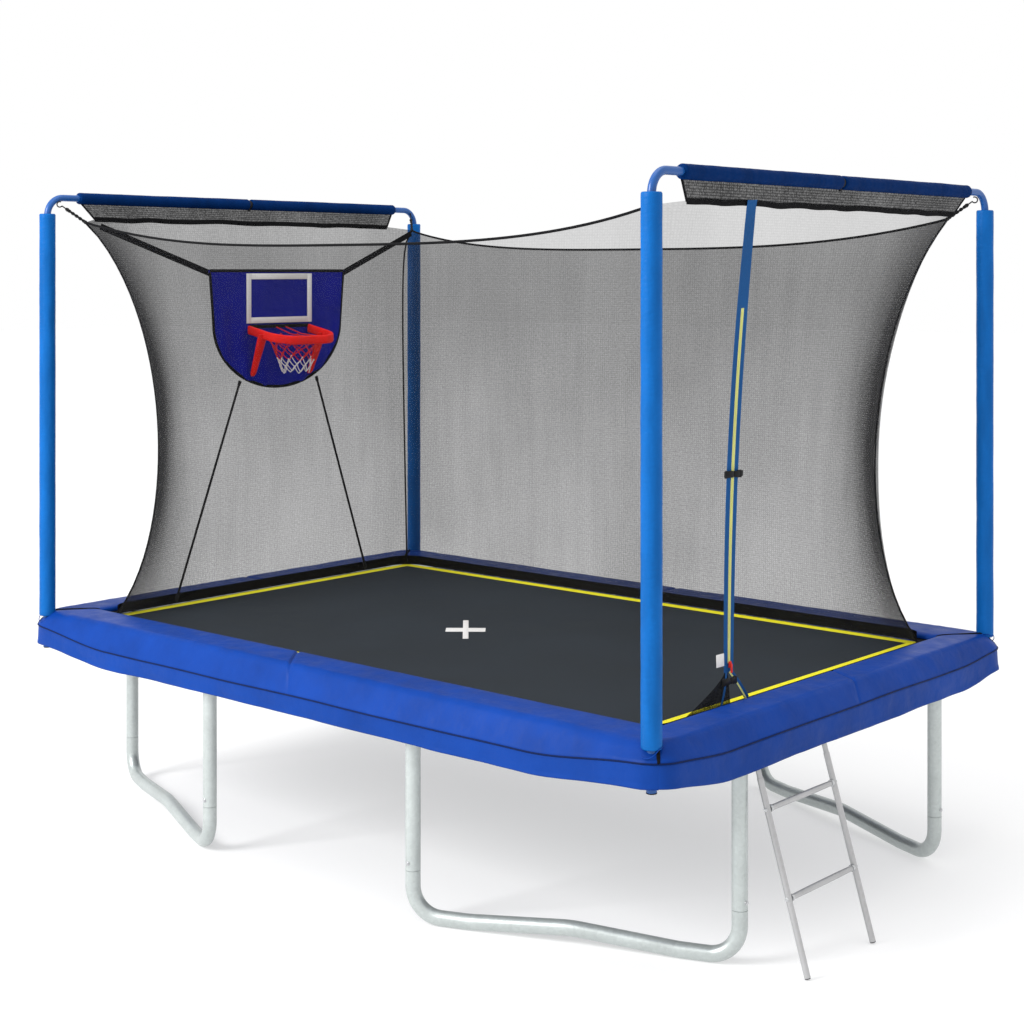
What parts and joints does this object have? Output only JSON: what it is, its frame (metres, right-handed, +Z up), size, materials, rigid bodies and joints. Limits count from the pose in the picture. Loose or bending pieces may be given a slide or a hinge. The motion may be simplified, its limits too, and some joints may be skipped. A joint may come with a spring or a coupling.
{
  "type": "trampoline",
  "caption": "Rectangular garden trampoline with a sprung mat, edge pads, foam-sleeved net poles, a safety net with zip door, a hook-on ladder and a fabric ball hoop.",
  "frame": {"origin": "on the ground under the middle of the whole bounding box, ladder included", "axes": "+X along the long side towards the ladder and the zip door, +Y along the short side to the back, +Z up"},
  "size_m": [3.9682, 2.608, 2.9184],
  "materials": {
    "galvanised": "hot-dip galvanised steel tube, satin with faint spangle",
    "ladder_grey": "grey powder coat, satin",
    "pole_blue": "blue powder coat, satin",
    "foam_blue": "foam sleeve in smooth blue PVC skin, soft sheen",
    "foam_navy": "foam sleeve in navy PVC skin, soft sheen",
    "pad_blue": "blue PVC-coated fabric over foam, soft sheen",
    "mat_black": "black woven polypropylene, matt",
    "net_black": "black open mesh netting, matt",
    "zinc_spring": "bright zinc-plated spring steel",
    "strip_blue": "blue woven webbing with yellow zip, matt",
    "plastic_black": "black moulded plastic, satin",
    "slider_red": "red enamel, glossy",
    "board_indigo": "indigo coated fabric over foam, soft sheen",
    "rim_red": "red PVC-covered foam band, soft sheen",
    "cord_white": "white and red braided cord, matt",
    "webbing_black": "black webbing and elastic, matt"
  },
  "bodies": {
    "frame": {"bar_foam_left_back": "foam_navy", "bar_foam_left_front": "foam_navy", "bar_foam_right_back": "foam_navy", "bar_foam_right_front": "foam_navy", "door_strip": "strip_blue", "frame_corner_left_back": "galvanised", "frame_corner_left_front": "galvanised", "frame_corner_right_back": "galvanised", "frame_corner_right_front": "galvanised", "frame_rail_back": "galvanised", "frame_rail_front": "galvanised", "hoop_cord_back": "webbing_black", "hoop_cord_front": "webbing_black", "leg_base_left_back": "galvanised", "leg_base_left_front": "galvanised", "leg_base_right_back": "galvanised", "leg_base_right_front": "galvanised", "leg_upright_left_back_long": "galvanised", "leg_upright_left_back_short": "galvanised", "leg_upright_left_front_long": "galvanised", "leg_upright_left_front_short": "galvanised", "leg_upright_right_back_long": "galvanised", "leg_upright_right_back_short": "galvanised", "leg_upright_right_front_long": "galvanised", "leg_upright_right_front_short": "galvanised", "pad_back": "pad_blue", "pad_front": "pad_blue", "pad_left": "pad_blue", "pad_right": "pad_blue", "pole_foam_left_back": "foam_blue", "pole_foam_left_front": "foam_blue", "pole_foam_right_back": "foam_blue", "pole_foam_right_front": "foam_blue", "pole_left_back": "pole_blue", "pole_left_front": "pole_blue", "pole_right_back": "pole_blue", "pole_right_front": "pole_blue", "safety_net": "net_black", "springs_back": "zinc_spring", "springs_front": "zinc_spring", "springs_left": "zinc_spring", "springs_right": "zinc_spring", "top_arch_left_back": "pole_blue", "top_arch_left_front": "pole_blue", "top_arch_right_back": "pole_blue", "top_arch_right_front": "pole_blue"},
    "mat": {"jumping_mat": "mat_black"},
    "ladder": {"ladder_rail_front": "ladder_grey", "ladder_rail_back": "ladder_grey", "ladder_rung_upper": "ladder_grey", "ladder_rung_lower": "ladder_grey"},
    "hoop": {"hoop_backboard": "board_indigo", "hoop_rim": "rim_red", "hoop_net": "cord_white", "hoop_strap_front": "webbing_black", "hoop_strap_back": "webbing_black"},
    "zip": {"zip_slider": "slider_red"},
    "buckle_low": {"door_buckle_low": "plastic_black"},
    "buckle_high": {"door_buckle_high": "plastic_black"}
  },
  "joints": [
    {"name": "mat_bounce", "type": "slide", "parent": "frame", "child": "mat", "axis": [0, 0, 1], "range_m": [-0.25, 0], "stiffness_N_per_m": 4000, "springref_m": 0.05, "deforming": ["springs_front", "springs_back", "springs_left", "springs_right"]},
    {"name": "ladder_swing", "type": "hinge", "parent": "frame", "child": "ladder", "pos_m": [1.71485, -0.46, 0.856], "axis": [0, -1, 0], "range_deg": [0, 20], "deforming": ["pad_right"]},
    {"name": "zip_slide", "type": "slide", "parent": "frame", "child": "zip", "axis": [0.0576, -0.0147, 0.9982], "range_m": [0, 1.358]},
    {"name": "buckle_low_slide", "type": "slide", "parent": "frame", "child": "buckle_low", "axis": [0.0327, 0.9995, 0], "range_m": [0, 0.04]},
    {"name": "buckle_high_slide", "type": "slide", "parent": "frame", "child": "buckle_high", "axis": [0.2, 0.9798, 0], "range_m": [0, 0.04]},
    {"name": "hoop_swing", "type": "hinge", "parent": "frame", "child": "hoop", "pos_m": [-1.74315, 0, 2.752], "axis": [0, -1, 0], "range_deg": [0, 12], "deforming": ["hoop_cord_front", "hoop_cord_back"]}
  ]
}
